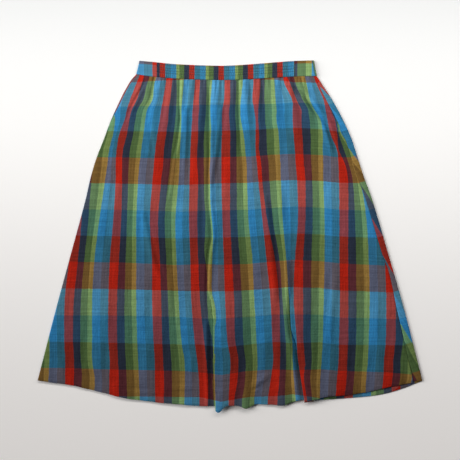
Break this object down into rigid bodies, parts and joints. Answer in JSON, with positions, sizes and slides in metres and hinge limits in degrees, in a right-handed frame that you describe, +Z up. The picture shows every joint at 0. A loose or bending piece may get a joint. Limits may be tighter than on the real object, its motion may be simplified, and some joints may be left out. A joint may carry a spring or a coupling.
{
  "type": "midi skirt",
  "caption": "Flared midi skirt of checked cotton with a gathered elastic waistband, laid flat and face up, with soft pleats and a curved hem.",
  "frame": {"origin": "middle of the footprint on the surface the skirt lies on", "axes": "+X to the right across the skirt seen from above with the waist at the top, +Y from the hem to the waist, +Z up"},
  "size_m": [0.8541, 0.78, 0.0106],
  "materials": {
    "check_cotton": "soft plain-woven yarn-dyed cotton check, matt, slightly crinkled",
    "band_cotton": "the same cotton folded double, pressed at the ends and puckered over elastic in the middle"
  },
  "bodies": {
    "root": {"front_panel": "check_cotton", "back_panel": "check_cotton", "waistband_elastic": "band_cotton", "waistband_end_left": "band_cotton", "waistband_end_right": "band_cotton", "waistband_back": "band_cotton"}
  },
  "joints": []
}
